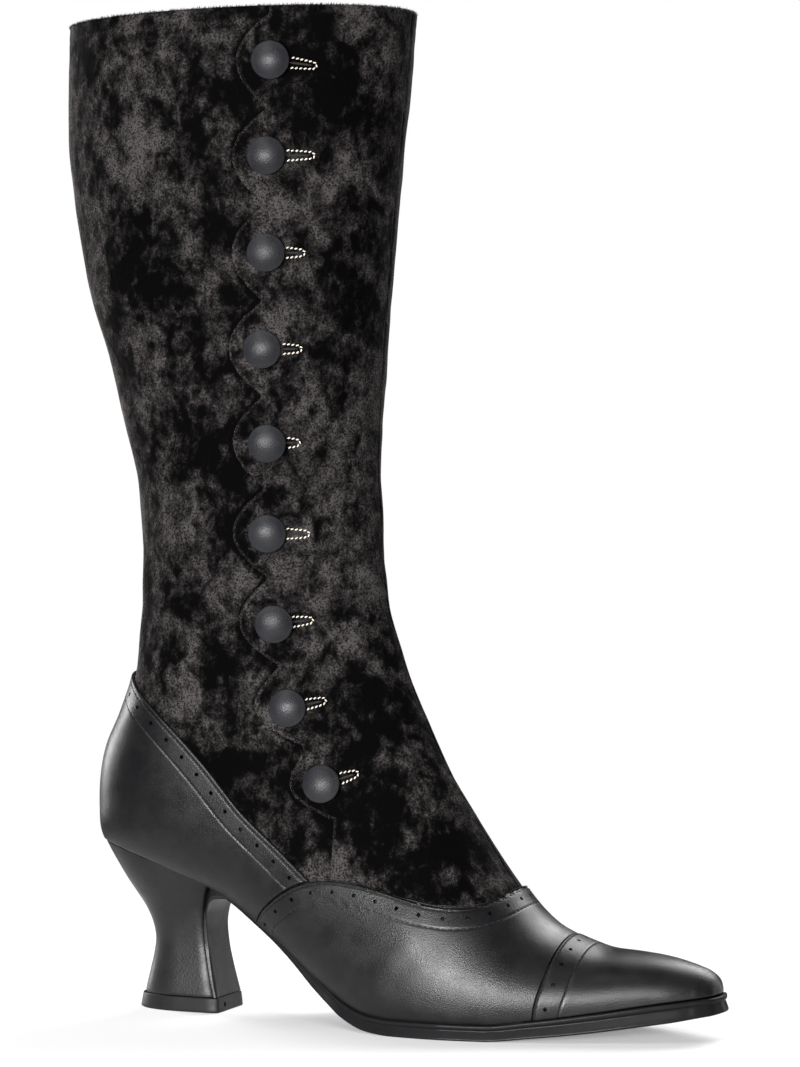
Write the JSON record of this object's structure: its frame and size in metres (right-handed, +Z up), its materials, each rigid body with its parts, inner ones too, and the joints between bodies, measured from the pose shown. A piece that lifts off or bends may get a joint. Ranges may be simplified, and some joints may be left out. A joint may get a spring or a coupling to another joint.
{
  "type": "velvet button boot",
  "caption": "Calf-high velvet button boot with leather vamp, perforated toe cap and counter, scalloped button flap and a spool heel; open at the collar.",
  "frame": {"origin": "on the floor under the middle of the boot's box", "axes": "+X towards the toe, +Y towards the inner side, +Z up"},
  "size_m": [0.2678, 0.0915, 0.388],
  "materials": {
    "velvet": "crushed velvet pile",
    "leather": "satin, fine grain",
    "sole": "satin",
    "button": "matte covered",
    "rubber": "matte",
    "insole": "matte"
  },
  "bodies": {
    "root": {"upper": "velvet", "button_flap": "velvet", "vamp": "leather", "toe_cap": "leather", "counter": "leather", "heel": "leather", "heel_breast": "leather", "outsole": "sole", "top_piece": "rubber", "insole": "insole", "button_1": "button", "button_2": "button", "button_3": "button", "button_4": "button", "button_5": "button", "button_6": "button", "button_7": "button", "button_8": "button", "button_9": "button"}
  },
  "joints": []
}
